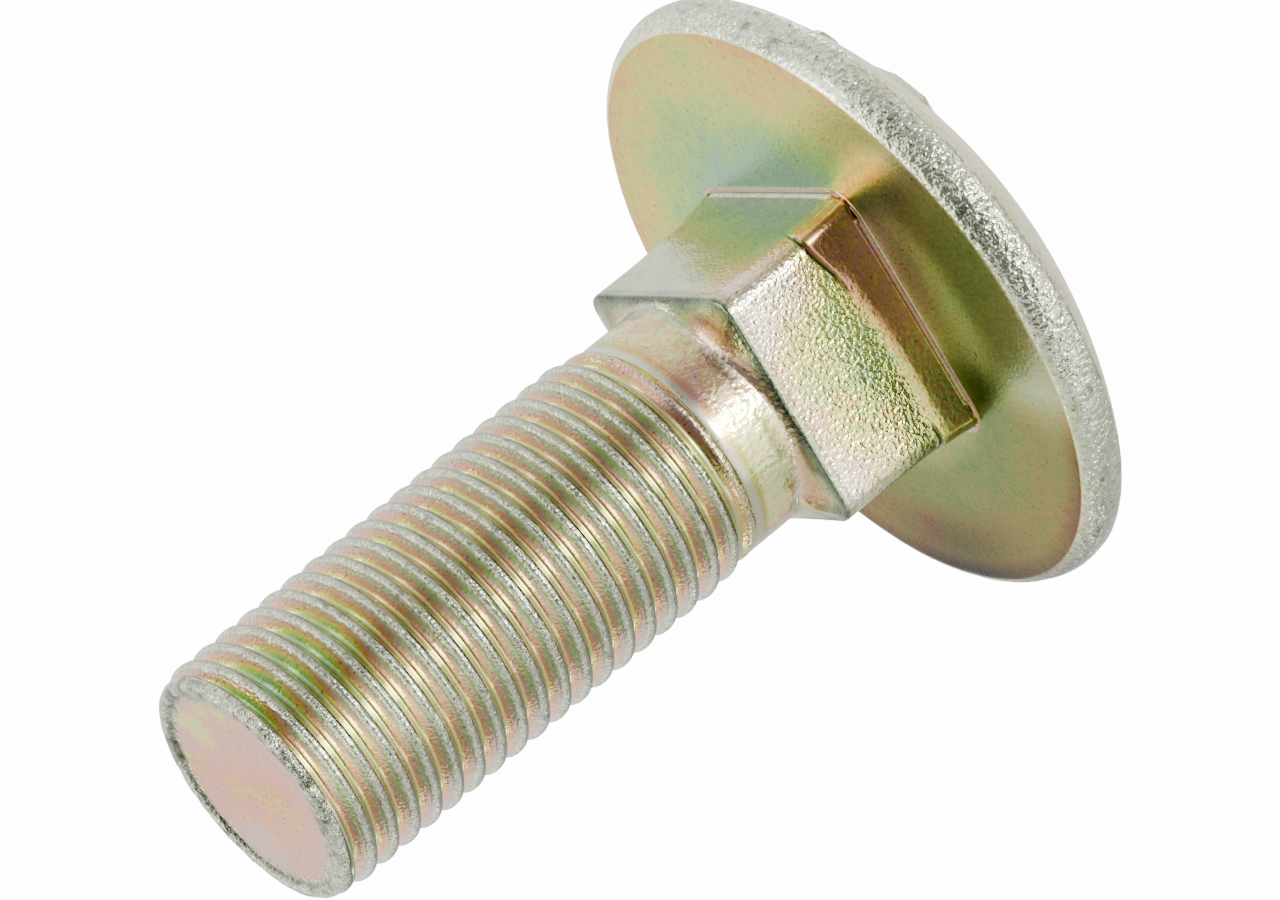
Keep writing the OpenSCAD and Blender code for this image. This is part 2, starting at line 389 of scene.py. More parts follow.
def bearing_paint(skin, x, y, r):
    """Paint of the bearing face, whose film grows towards the edge in slow clouds."""
    height = np.full_like(x, 7.0)
    slow = skin.lumps.at(x, y, height, 5.2)
    quick = skin.lumps.at(x + 9, y, height, 1.9)
    fine = skin.lumps.at(x, y + 9, height, 0.7)
    turn = np.arctan2(y, x)
    film = 0.64 + 0.25 * eased(7.2, 12.2, r) + 0.04 * eased(13.3, 13.9, r) + 0.11 * eased(14.1, 14.5, r)
    greener = bell(0, 32, azimuth_gap(turn, 122)) * bell(11.3, 1.2, r)
    film = film + 0.06 * slow + 0.045 * quick + 0.02 * fine - 0.07 * greener

    # The half towards -Y is browner and painted darker as shade; the side that faces the grained flat is paler
    # and painted darker towards the edge as shade
    lower = eased(78, 48, np.abs(azimuth_gap(turn, -82)))
    behind = eased(36, 22, np.abs(azimuth_gap(turn, 8)))
    film = film + lower * (0.2 * eased(11.5, 7, r) + 0.02 * eased(10, 12, r))
    # Painted shade round the face, deepest on the half towards -Y
    dim = 0.12 + 0.05 * eased(40, 80, np.degrees(turn)) + 0.62 * lower * (0.7 + 0.3 * eased(7, 9, r))
    dim = dim + 0.16 * bell(0, 22, azimuth_gap(turn, -98)) * eased(9.5, 12.5, r)
    dim = np.maximum(dim, 0.5 * behind * eased(9.4, 11.4, r))
    dim = np.maximum(dim, 0.35 * bell(0, 14, azimuth_gap(turn, 42)))
    pale = behind * (0.48 + 0.12 * eased(11.5, 9.5, r))
    film = film - 0.05 * behind * eased(10, 12, r)

    # A painted reflection: a wedge of bright gold runs out from the near corner
    golden = bell(0, 4.4, azimuth_gap(turn, 46.5 - 2.1 * (r - 8.4))) * eased(14.2, 12.0, r)
    film = mixed(film, 0.98, golden)
    pale = pale * (1 - golden)
    dim = dim * (1 - golden) - 0.75 * golden
    dim = dim + 0.1 * lower * eased(13.2, 14.3, r)
    # Painted light: brighter close to the neck on the side that faces the grained flat
    facing_neck = behind * eased(10.6, 9.0, r)
    tone = (1 - dim) * (1 + 0.05 * quick + 0.03 * fine) * (1 + 0.9 * facing_neck)
    return film, pale, 0, 0.35, 0, tone


def bearing_rings(skin, face_z):
    """The flat face under the head, from a circle to the outline of the square."""
    for share in np.concatenate([np.linspace(0, 0.9, 20), np.linspace(0.92, 1, 5)]):
        turn = skin.turns(share)
        radius = BEARING_OUTER * (1 - share) + square_radius(turn, FLASH_HALF, FLASH_CORNER) * share
        x, y = on_circle(radius, turn)
        inward = min(1, 6 * share)
        wave = skin.lumps.at(x, y, 0 * x, 4.5) * BEARING_SINK * inward * min(1, 8 * (1 - share))
        skin.add(turn, radius, face_z + wave - BEARING_SINK * inward, BEARING_FACE,
                 *bearing_paint(skin, x, y, radius))


# Neck: flash, collar, flats and shoulder, with heights over the bearing face

# The square line of flash: its outer half width and corner, then half width and rise along it
FLASH_HALF, FLASH_CORNER = 6.36, 1.5
FLASH_PROFILE = ((6.28, 0.03), (6.26, 0.08), (6.23, 0.12), (6.20, 0.12), (6.17, 0.09), (6.14, 0.07))
COLLAR_FOOT_HALF, COLLAR_FOOT = 6.1, 0.07

# The collar narrows to its half width on the sides facing +X and -X, and flares from the flats on the others
COLLAR_HALF, COLLAR_DRAFT = 5.91, 0.17
FLARE, FLARE_HEIGHT = 0.24, 1.1
COLLAR_LEVELS = np.concatenate([
    np.linspace(0, 0.9, 9), [0.94, 0.97, 0.985, 1.0, 1.015, 1.03, 1.06, 1.12], np.linspace(1.22, 1.9, 5)])

# The lap lies under the top of the collar but climbs at the near corner, where it is cracked open
LAP_DROP, LAP_CLIMB, CRACK_DEPTH = 0.15, 1.0, 0.2

# The flats stop short of the shoulder, which takes up the rest of the neck and a little of the shank
FLAT_STOP, SHOULDER = 0.35, 1.0
SHOULDER_SHARES = (-0.2, -0.1, 0, 0.04, 0.1, 0.18, 0.28, 0.4, 0.52, 0.64, 0.76, 0.86, 0.93, 1.0, 1.08, 1.2)


def flash_rings(skin, face_z):
    """The thin raised line that the dies leave at the bearing face, down to the foot of the collar."""
    turn = skin.turns(1)
    for half, rise in FLASH_PROFILE + ((COLLAR_FOOT_HALF, COLLAR_FOOT),):
        radius = square_radius(turn, half, FLASH_CORNER)
        uneven = skin.lumps.at(*on_circle(radius, turn), 0 * turn, 1.2)
        film = 1.14 + 0.08 * uneven if half > COLLAR_FOOT_HALF else 0.6
        skin.add(turn, radius + 0.015 * uneven, face_z + rise, NECK,
                 film, 0.3, grain=0.15, tone=0.7 + 0.1 * uneven)


def collar_rings(skin, face_z, neck):
    """The collar, which runs into the neck softly but is folded into a lap at the near corner and a nick.

    Returns the height of the last ring, which is uneven."""
    half = neck.width / MM / 2
    edge = neck.edge_radius / MM
    turn = skin.turns(1)
    stepped_side = 1 - eased(42, 50, np.abs((np.degrees(turn) + 90) % 180 - 90))
    far_end = eased(20, -40, azimuth_gap(turn, 0))
    lap = neck.collar_height / MM - LAP_DROP + LAP_CLIMB * bell(0, 14, azimuth_gap(turn, 45))
    lap = lap + 0.14 * skin.lumps.at(*on_circle(5, turn), 0 * turn, 1.7)
    crack = bell(0, 10, azimuth_gap(turn, 38)) + 0.8 * bell(0, 3.5, azimuth_gap(turn, -43))
    for level in COLLAR_LEVELS:
        height = COLLAR_FOOT + (lap - COLLAR_FOOT) * level
        on_neck = mixed(eased(0.72, 1.2, level), eased(0.99, 1.05, level), np.minimum(1, crack))
        stepped = mixed(COLLAR_HALF + COLLAR_DRAFT * max(0, 1 - level) ** 1.5, half, on_neck)
        flared = half + FLARE * np.exp(-height / FLARE_HEIGHT)
        spread = flared + (stepped - flared) * stepped_side
        radius = square_radius(turn, spread, edge * (0.75 + 0.25 * on_neck))
        x, y = on_circle(radius, turn)
        slow = skin.lumps.at(x, y, face_z + height, 1.8)

        # The stepped sides have a smooth film of their own, with a painted highlight of bright gold at the near
        # corner
        on_face = 1 - stepped_side * (1 - on_neck)
        film, pale, tone = neck_paint(skin, turn, x, y, face_z + height)
        film = mixed(1.04 - 0.13 * far_end + 0.04 * slow, film, on_face)
        pale = mixed(0.1, pale, on_face)
        tone = mixed(0.66 + 0.1 * far_end + 0.05 * slow, tone, on_face)
        grain = mixed(0.12, neck_grain(turn), on_face)
        golden = eased(4.2, 2.6, np.abs(azimuth_gap(turn, 48.4))) * (1 - eased(0.9, 1.0, level))
        film = mixed(film, 0.99, golden)
        tone = mixed(tone, 1.9, golden)
        fold = crack * bell(1.0, 0.022, level)
        # Painted shade: the crack is darkened with the soil colour
        soil_and_shade = np.minimum(1, 1.8 * crack) * bell(1.0, 0.035, level)
        skin.add(turn, radius - CRACK_DEPTH * fold + 0.01 * slow, face_z + height, NECK,
                 film, pale * (1 - golden), 0, grain * (1 - golden), soil_and_shade, tone)
    return COLLAR_FOOT + (lap - COLLAR_FOOT) * COLLAR_LEVELS[-1]


def flat_rings(skin, face_z, neck, start):
    """The four flats, from the uneven top of the collar to the foot of the shoulder."""
    turn = skin.turns(1)
    end = neck.length / MM - FLAT_STOP
    radius = square_radius(turn, neck.width / MM / 2, neck.edge_radius / MM)
    x, y = on_circle(radius, turn)
    for share in np.linspace(0, 1, 22)[1:]:
        height = start + (end - start) * share
        slow = skin.lumps.at(x, y, face_z + height, 1.8)
        quick = skin.lumps.at(x, y, face_z + height, 0.5)
        film, pale, tone = neck_paint(skin, turn, x, y, face_z + height)
        # Painted shade darkens the flats towards the shoulder, and the flat that faces +X ends in a ragged dark
        # band
        tone = tone * (1 - 0.35 * eased(end - 0.2, end, height))
        uneven = (0.02 * (slow - 1) + 0.014 * quick * neck_grain(turn)) * eased(start, start + 1.4, height)
        ragged_dark_band = 0.7 * coarse_side(turn, 43) * eased(end - 0.15, end + 0.15, height) * eased(-0.1, 0.5, quick)
        skin.add(turn, radius + uneven, face_z + height, NECK,
                 film, pale, 0, neck_grain(turn), ragged_dark_band, tone)


def shoulder_rings(skin, face_z, neck, shank_r):
    """The shoulder: steep at the corners, shallow on the flats, with a fin in one corner."""
    half = neck.width / MM / 2
    edge = neck.edge_radius / MM
    for share in SHOULDER_SHARES:
        turn = skin.turns(1 - 0.5 * eased(0, 1.2, share))
        at_corner = bell(45, 26, np.abs((np.degrees(turn) + 45) % 90 - 45))
        outline = square_radius(turn, half, edge)
        radius = shank_r + (outline - shank_r) * np.clip(1 - share, 0, 1) ** 1.25
        if share <= 0.04:
            radius = outline - (0.03 if share > -0.05 else 0.0)
        ridge = 0.06 * bell(0.95, 0.1, share) * at_corner
        fin = 0.3 * bell(0, 2.6, azimuth_gap(turn, -46)) * bell(0.5, 0.3, share)
        height = neck.length / MM + (0.5 + 0.35 * at_corner) * share + fin
        x, y = on_circle(radius, turn)
        slow = skin.lumps.at(x, y, face_z + height, 0.9)

        # The brink is pale and painted darker as shade, pockets of pink and gold lie in the corners under
        # painted shade, the creases get the soil colour as painted shade, and a band of painted shade lies on
        # the flats
        film, pale, tone = neck_paint(skin, turn, x, y, face_z + height)
        brink = 0.9 * bell(0.08, 0.3 + 0.1 * slow, share)
        pocket = at_corner * bell(0.62, 0.3, share)
        film = mixed(mixed(film, 0.6, brink), 1.0 + 0.06 * slow, pocket)
        pale = mixed(mixed(pale, 0.5, brink), 0.2, pocket)
        # Painted shade in the creases
        crease = 0.5 * bell(1.0, 0.06, share) * (0.4 + 0.6 * at_corner)
        crease = np.maximum(crease, 0.6 * bell(0.03, 0.06, share))
        crease = np.maximum(crease, 0.75 * at_corner * bell(0.45 + 0.14 * slow, 0.07, share))
        crease = np.maximum(crease, 0.75 * coarse_side(turn, 43) * bell(0.3 + 0.3 * slow, 0.2, share))
        on_flat = (1 - at_corner) * bell(0.3, 0.32, share)
        # Painted shade on the brink, in the pockets and in a band on the flats
        tone = tone * (1 - 0.7 * brink) * (1 - 0.45 * pocket) * (1 - 0.62 * on_flat * (1 + 0.3 * slow))
        skin.add(turn, radius + ridge + 0.014 * (slow - 1), face_z + height, NECK if share < 0.95 else SHANK,
                 film, pale, 0, 0.35 + 0.3 * (1 - pocket), crease * (0.7 + 0.3 * slow), tone)


def coarse_side(turn, half_angle=45):
    """1 on the flat that faces +X, which kept the coarse skin of the forging, and 0 on the others."""
    return 1 - eased(half_angle - 5, half_angle + 5, np.abs(azimuth_gap(turn, 0)))


def neck_grain(turn):
    """How coarse the grain of the neck is."""
    return 0.45 + 0.55 * coarse_side(turn)


def neck_paint(skin, turn, x, y, z):
    """Film, paleness and tone of the neck, which differ between its two kinds of side."""
    mottle = skin.lumps.at(x, y, z, 1.3)
    slow = skin.lumps.at(x + 20, y, z, 2.8)
    fine = skin.lumps.at(x, y + 20, z, 0.45)
    near_edge = bell(0, 9, azimuth_gap(turn, 50))
    upper_edge = near_edge * eased(9, 11, z)
    top = eased(9.5, 13.5, z)
    film = 0.68 + 0.09 * mottle + 0.06 * slow + 0.05 * top + 0.47 * upper_edge
    film = film + 0.26 * near_edge * eased(9.4, 8.4, z)
    pale = 0.8 - 0.16 * top - 0.2 * near_edge
    # Painted highlight along the upper part of the near edge
    tone = 0.88 - 0.03 * top + 0.55 * upper_edge + 0.14 * fine + 0.06 * mottle

    # The coarse side is pink towards its upper corners, yellow-green in the middle with a grey cloud, and
    # painted brighter than the other sides, most towards its upper corners, as painted highlights
    coarse = coarse_side(turn)
    near_corner = bell(0, 15, azimuth_gap(turn, 40)) * eased(9.5, 11.5, z)
    far_corner = bell(0, 12, azimuth_gap(turn, -42)) * eased(9.5, 12, z)
    blush = np.minimum(1, near_corner + 0.6 * far_corner + 0.5 * eased(12.2, 14, z))
    cloud = bell(0, 13, azimuth_gap(turn, -8)) * bell(10.4, 1.0, z)
    film = mixed(film, 0.86 + 0.07 * mottle + 0.04 * slow + 0.26 * blush - 0.1 * cloud, coarse)
    pale = mixed(pale, 0.16 + 0.1 * slow + 0.56 * blush, coarse)
    tone = mixed(tone, 1.18 - 0.16 * cloud + 0.35 * blush, coarse)
    return film, np.clip(pale, 0, 1), tone


# Shank and thread

# How the thread starts under its first full depth, how far it grows out of the shank, and its depth
THREAD_RUN_IN, THREAD_GROWTH, THREAD_DEPTH = 0.5, 2.0, 0.667

# Shares of the pitch: start and end of the crest, start and end of the root, and where points are set
PROFILE_MARKS = (0.0, 0.216, 0.524, 0.692, 1.0)
PROFILE_LEVELS = (1, 1, 0, 0, 1)
PROFILE_BLUR = 0.024
PITCH_STOPS = np.array([0.0, 0.07, 0.14, 0.2, 0.26, 0.34, 0.42, 0.5, 0.56, 0.62, 0.68, 0.75, 0.84, 0.93])

# The thread stops under the lip of the tip: the crests are bevelled and the roots fill up
LIP_HEIGHT, LIP_RADIUS = 0.58, 5.66
CREST_BEVEL, ROOT_FILL = math.tan(math.radians(38)), 1.8


def shank_rings(skin, start_z, end_z, shank_r):
    """The plain shank between the shoulder and the thread, with painted highlights in two bands along it and
    painted shade at its foot.
    """
    for height in np.linspace(start_z, end_z, 8)[1:-1]:
        turn = skin.turns(0.5 * (1 - eased(start_z, end_z - 0.4, height)))
        x, y = on_circle(shank_r, turn)
        z = np.full_like(x, height)
        slow = skin.lumps.at(x, y, z, 2.0)
        # Painted highlights in two bands along the shank
        tone = 1.1 + 0.8 * bell(0, 10, azimuth_gap(turn, 12)) + 0.6 * bell(0, 24, azimuth_gap(turn, -32))
        # Painted shade at the foot of the shank, next to the shoulder
        painted_shade_at_foot = eased(0.6, 0.1, height - start_z) * eased(-0.5, 0.4, skin.lumps.at(x, y, z, 0.6))
        skin.add(turn, shank_r + 0.01 * slow, height, SHANK,
                 shank_film(skin, x, y, z), 0.36, 0, 0.6, 0, tone * (1 - 0.75 * painted_shade_at_foot))


def shank_film(skin, x, y, z):
    """Film of the shank: gold in clouds, with a pink band."""
    blush = bell(0, 14, azimuth_gap(np.arctan2(y, x), 38))
    return 0.9 + 0.16 * skin.lumps.at(x, y, z, 2.2) + 0.07 * skin.lumps.at(x, y, z, 0.8) + 0.22 * blush


def thread_shape(crest_r):
    """Share of the pitch and radius along one turn of the rolled profile, softly rounded."""
    fine = np.linspace(0, 1, 400, endpoint=False)
    level = np.interp(fine, PROFILE_MARKS, PROFILE_LEVELS)
    kernel = np.exp(-0.5 * (np.minimum(fine, 1 - fine) / PROFILE_BLUR) ** 2)
    kernel /= kernel.sum()
    smooth = np.real(np.fft.ifft(np.fft.fft(level) * np.fft.fft(kernel)))
    return fine, crest_r - THREAD_DEPTH * (1 - np.clip(smooth, 0, 1))


def thread_paint(skin, points, phase, start_z):
    """Paint along the rolled profile: rubbed crests, smooth grey sides, salmon roots, with painted shade and
    painted highlights.
    """
    x, y, z = points.T
    turn = np.arctan2(y, x)
    slow = skin.lumps.at(x, y, z, 4.2)
    quick = skin.lumps.at(x, y, z, 1.1)
    fine = skin.lumps.at(x, y, z, 0.4)
    off_crest = np.abs((phase - 0.185 + 0.5) % 1 - 0.5)
    crest = 1 - eased(0.1, 0.145, off_crest - 0.03 * quick - 0.02 * fine)
    # The tone row paints shade on the head side of each crest
    marks = [0.0, 0.08, 0.29, 0.35, 0.41, 0.47, 0.53, 0.57, 0.61, 0.65, 0.7, 0.96, 1.0]
    film, pale, tone = (np.interp(phase, marks, values) for values in (
        [0.74, 0.76, 1.30, 1.29, 1.20, 1.11, 1.03, 0.93, 0.84, 0.77, 0.74, 0.74, 0.74],
        [0.52, 0.56, 0.40, 0.30, 0.20, 0.12, 0.14, 0.20, 0.35, 0.60, 0.80, 0.80, 0.62],
        [0.46, 0.50, 0.95, 1.00, 1.12, 1.20, 1.18, 1.15, 1.05, 0.85, 1.05, 1.05, 0.46]))
    in_root = bell(0.46, 0.2, phase)

    # Bands of other colours lie along the bolt: the film's shift of colour round the highlight line, painted in
    # as sheen
    purple = bell(0, 8, azimuth_gap(turn, 38 + 6 * slow)) * (0.55 + 0.45 * quick)
    green = bell(0, 7, azimuth_gap(turn, 27 + 5 * slow)) * (0.5 + 0.5 * quick)
    yellow = bell(0, 9, azimuth_gap(turn, 9 + 5 * slow)) * (0.75 + 0.5 * quick)
    near_tip = bell(0, 22, azimuth_gap(turn, 52)) * eased(32, 38, z) * (0.65 + 0.35 * quick)
    away = eased(45, 62, np.abs(azimuth_gap(turn, 15)))
    film = film + in_root * (0.05 * purple + 0.12 * green - 0.14 * yellow - 0.58 * near_tip - 0.1 * away)
    film = film + in_root * (0.06 * slow + 0.08 * quick) + 0.02 * quick
    pale = np.clip(pale - 0.3 * in_root * (near_tip + 0.4 * green + 0.4 * purple), 0, 1)

    # Painted highlight along one line and towards the tip, above all on the crests, with the roots painted
    # darker along that line
    gleam = eased(33.5, 36, z) * bell(0, 14, azimuth_gap(turn, 7))
    lit = bell(0, 10, azimuth_gap(turn, 12))
    tone = tone * (1 - 0.14 * near_tip * in_root) * (1 + 0.3 * gleam)
    tone = tone * (1 - 0.22 * lit * (1 - crest)) * (1 + crest * (0.6 * lit - 0.02 + 0.18 * fine))

    # Where the thread grows out of the shank it has the paint of the shank
    grown = eased(0, THREAD_GROWTH, z - start_z)
    film = mixed(shank_film(skin, x, y, z), film, grown)
    rub = crest * grown * (0.85 + 0.15 * quick)
    sparkly = bell(0.42, 0.12, phase) * eased(12, 30, np.abs(azimuth_gap(turn, 22)))
    grain = 0.04 + 0.96 * crest + (0.1 + 0.5 * sparkly) * bell(0.45, 0.14, phase) * (1 - crest)
    # Dark pits on the crests, fewer along the painted highlight, and a painted dark line of shade beside each
    # root
    pits = crest * eased(0.5, 0.85, fine) * 0.6 * (1 - 0.7 * lit) + 0.25 * bell(0.72, 0.03, phase)
    return film, pale, rub, grain, pits * grown, mixed(0.95, tone, grown)


# Tip: the round lip and the dished end

# Radius and height over the top of the solid, from outside inwards, then the radii of the rings in the dish
LIP_PROFILE = (
    (5.67, -0.5), (5.68, -0.4), (5.67, -0.3), (5.63, -0.19), (5.56, -0.1), (5.44, -0.03), (5.3, 0),
    (5.17, -0.015), (5.07, -0.06), (5.0, -0.13), (4.95, -0.2), (4.88, -0.22), (4.7, -0.215))
DISH_RINGS = (4.4, 4.0, 3.4, 2.7, 2.0, 1.3, 0.6)
DISH_RADIUS, DISH_DEPTH, DISH_SWELL = 4.6, 0.22, 0.03
LIP_RAGGEDNESS = 0.03


def end_paint(skin, x, y, z, ring_r):
    """Paint of the lip and the end face: golden in the middle, with a green patch."""
    turn = np.arctan2(y, x)
    mottle = skin.lumps.at(x, y, z, 1.6)
    quick = skin.lumps.at(x, y, z, 0.55)
    tiny = skin.lumps.at(x, y, z, 0.3)
    slow = skin.lumps.at(x + 30, y, z, 3.5)
    on_lip = eased(4.5, 4.8, ring_r + 0.2 * skin.lumps.at(x, y, z, 1.1))
    middle = bell(0, 2.3, np.hypot(x - 1.2, y + 0.8))
    film = 1.13 - 0.11 * middle + 0.05 * mottle + 0.05 * quick + 0.05 * slow
    arc = bell(4.25, 0.4, ring_r) * bell(0, 70, azimuth_gap(turn, 110)) * eased(-0.1, 0.5, quick)
    patch = bell(0, 1.0, np.hypot(x + 1.2, y - 3.2)) * eased(-0.4, 0.5, mottle)
    film = film - 0.42 * np.maximum(patch, arc)
    pale = 0.1 - 0.08 * middle + 0.12 * slow + on_lip * (0.65 - 0.55 * bell(0, 50, azimuth_gap(turn, -75)))

    # The crease behind the lip gets the soil colour as painted shade, soil lies in specks on the lip, and the
    # lip is painted darker as shade, most towards +X, with random grit
    crease = bell(4.93, 0.1, ring_r) * (0.1 + 0.85 * bell(0, 70, azimuth_gap(turn, -150)))
    specks = on_lip * eased(0.35, 0.7, tiny) * (0.35 + 0.5 * bell(0, 70, azimuth_gap(turn, 20)))
    painted_lip_shade_and_grit = 0.45 + 0.12 * bell(0, 60, azimuth_gap(turn, 15)) - 0.2 * eased(5.35, 5.6, ring_r)
    painted_lip_shade_and_grit = painted_lip_shade_and_grit - 0.16 * bell(0, 60, azimuth_gap(turn, -80)) + 0.3 * (tiny + 0.6 * quick)
    tone = 0.97 + 0.05 * mottle - on_lip * painted_lip_shade_and_grit
    grain = 0.14 + 0.2 * middle + 0.86 * on_lip
    return film, np.clip(pale, 0, 1), on_lip * 0.8, grain, np.maximum(crease, specks), tone


# The surface that the rings, the thread and the tip are joined into

class Surface:
    """Points in millimetres with their paint, and faces with their finish."""

    def __init__(self):
        self.points, self.faces, self.zones = [], [], []
        self.paint = {name: [] for name in PAINT}

    def add_points(self, points, paint):
        """Add points with their paint, and return their numbers."""
        first = len(self.points)
        self.points.extend(points.tolist())
        for name, values in zip(PAINT, paint):
            self.paint[name].extend(np.broadcast_to(values, len(points)).tolist())
        return range(first, len(self.points))

    def add_face(self, corners, zone):
        """Add a face, leaving out corners that fall together."""
        loop = [corner for at, corner in enumerate(corners) if corner != corners[at - 1]]
        if len(loop) >= 3:
            self.faces.append(tuple(loop))
            self.zones.append(zone)

    def bridge(self, lower, upper, zone):
        """Join two rings of points, one face for each column."""
        for column in range(COLUMNS):
            following = (column + 1) % COLUMNS
            self.add_face((lower[column], lower[following], upper[following], upper[column]), zone)


def add_rings(surface, skin):
    """Join the rings of the skin, and return the last of them."""
    below = None
    for ring, zone in zip(skin.rings, skin.zones):
        turn, radius, height = ring[:3]
        numbers = surface.add_points(np.stack([*on_circle(radius, turn), height], 1), ring[3:])
        if below is not None:
            surface.bridge(below, numbers, zone)
        below = numbers
    return below


def add_thread(surface, skin, thread, start_z, base_z, end_z):
    """Rows of points that climb with the thread and fall together on a level edge at both ends.

    Returns the points round the lower edge and round the upper edge."""
    pitch = thread.pitch / MM
    shank_r = thread.shank_diameter / MM / 2
    turn = skin.turns(0)
    turns_needed = int((end_z - base_z) / pitch) + 4
    rows = np.concatenate([number + PITCH_STOPS for number in range(-2, turns_needed)])
    lead = turn / FULL_TURN + thread.turn / FULL_TURN
    heights = base_z + pitch * (rows[:, None] + lead[None, :])
    low = np.array([np.max(np.nonzero(heights[:, column] <= base_z)[0]) for column in range(COLUMNS)])
    high = np.array([np.min(np.nonzero(heights[:, column] >= end_z)[0]) for column in range(COLUMNS)])
    fine, profile = thread_shape(thread.crest_diameter / MM / 2)
    points, phases, order = [], [], {}
    for column in range(COLUMNS):
        for row in range(low[column], high[column] + 1):
            z = min(max(heights[row, column], base_z), end_z)
            phase = ((z - base_z) / pitch - turn[column] / FULL_TURN - thread.turn / FULL_TURN) % 1
            grown = min(max((z - start_z) / THREAD_GROWTH, 0), 1)
            radius = shank_r + (np.interp(phase, fine, profile, period=1) - shank_r) * grown
            radius = min(radius, LIP_RADIUS + (end_z - z) * CREST_BEVEL)
            radius = max(radius, LIP_RADIUS - (end_z - z) * ROOT_FILL)
            order[(row, column)] = len(points)
            points.append((*on_circle(radius, turn[column]), z))
            phases.append(phase)
    points = np.array(points)
    numbers = surface.add_points(points, thread_paint(skin, points, np.array(phases), start_z))

    # The column after the last one is the first one, a whole turn of the thread further on
    def place(row, column):
        if column == COLUMNS:
            return place(row + len(PITCH_STOPS), 0)
        return numbers[order[(min(max(row, low[column]), high[column]), column)]]

    for column in range(COLUMNS):
        for row in range(-len(PITCH_STOPS), len(rows) + len(PITCH_STOPS)):
            corners = (place(row, column), place(row, column + 1), place(row + 1, column + 1),
                       place(row + 1, column))
            surface.add_face(corners, THREAD)
    return ([place(low[column], column) for column in range(COLUMNS)],
            [place(high[column], column) for column in range(COLUMNS)])


def add_tip(surface, skin, below, top):
    """The round lip, uneven where it was sheared, and the shallow dish inside it."""
    dish = [(r, DISH_SWELL * (1 - (r / DISH_RADIUS) ** 2) - DISH_DEPTH) for r in DISH_RINGS]
    turn = skin.turns(0)
    for r, rise in LIP_PROFILE + tuple(dish):
        x, y = on_circle(r, turn)
        z = np.full_like(x, top + rise)
        ragged = eased(4.8, 5.0, r) * min(1, 2 * (5.9 - r))
        lumpy = skin.lumps.at(x, y, z, 0.7) + 0.5 * skin.lumps.at(x, y, z, 0.3)
        sunk = LIP_RAGGEDNESS * ragged * (lumpy + 1)
        paint = end_paint(skin, x, y, z, r)
        ring = surface.add_points(np.stack([x * (1 - sunk / r), y * (1 - sunk / r), z - sunk], 1), paint)
        surface.bridge(below, ring, END)
        below = ring
    middle, = surface.add_points(np.array([[0, 0, top + DISH_SWELL - DISH_DEPTH]]),
                                 [surface.paint[name][-1] for name in PAINT])
    for column in range(COLUMNS):
        surface.add_face((below[column], below[(column + 1) % COLUMNS], middle), END)


def bolt_surface(head, neck, thread):
    """The whole skin of the bolt from the crown to the middle of the tip."""
    skin, surface = Skin(), Surface()
    face_z = head.height / MM
    shank_r = thread.shank_diameter / MM / 2
    top = SOLID_HIGH.z / MM
    start_z = top - thread.length / MM
    base_z, end_z = start_z - THREAD_RUN_IN, top - LIP_HEIGHT
    head_rings(skin, head)
    bearing_rings(skin, face_z)
    flash_rings(skin, face_z)
    flats_start = collar_rings(skin, face_z, neck)
    flat_rings(skin, face_z, neck, flats_start)
    shoulder_rings(skin, face_z, neck, shank_r)
    shank_rings(skin, (head.height + neck.length) / MM + SHOULDER, base_z, shank_r)
    shank_end = add_rings(surface, skin)
    thread_start, thread_end = add_thread(surface, skin, thread, start_z, base_z, end_z)
    surface.bridge(shank_end, thread_start, SHANK)
    add_tip(surface, skin, thread_end, top)
    return surface


class BuildBolt(bpy.types.Operator):
    """Build the carriage bolt in one detailed piece over its CAD solid"""
    bl_idname = "mesh.carriage_bolt"
    bl_label = "Build the carriage bolt"

    def execute(self, context):
        scene = context.scene
        surface = bolt_surface(scene.bolt_head, scene.bolt_neck, scene.bolt_thread)
        mesh = bpy.data.meshes.new("Carriage_Bolt")
        mesh.from_pydata((np.array(surface.points) * MM).tolist(), [], surface.faces)
        if mesh.validate():
            raise RuntimeError("the sizes give the bolt faces that fold onto each other")
        mesh.update()
        for name, values in surface.paint.items():
            layer = mesh.attributes.new(name, "FLOAT", "POINT")
            layer.data.foreach_set("value", np.array(values, dtype=np.float32))
        for material in finishes(scene.bolt_finish):
            mesh.materials.append(material)
        mesh.polygons.foreach_set("material_index", np.array(surface.zones, dtype=np.int32))
        mesh.polygons.foreach_set("use_smooth", np.ones(len(surface.faces), dtype=bool))
        mesh.update()
        bolt = bpy.data.objects.new("Carriage_Bolt", mesh)
        scene.collection.objects.link(bolt)
        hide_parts(NODE)
        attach(bolt, "root")
        return {"FINISHED"}


# Material: zinc plate on forged steel under a yellow chromate film

# Colours of the film as it grows thicker, from silver through gold, pink and green
FILM_COLOURS = (
    (0.00, "#d7dcbd"), (0.12, "#d7d27c"), (0.24, "#d2b350"), (0.36, "#bd7a3e"), (0.45, "#aa6450"),
    (0.53, "#95868a"), (0.62, "#7fab8c"), (0.72, "#86b468"), (0.83, "#aec656"), (0.92, "#d3c151"),
    (1.02, "#d3914c"), (1.12, "#d3867a"), (1.22, "#ad8e88"), (1.32, "#98ae6e"))
FILM_SPAN = FILM_COLOURS[-1][0]

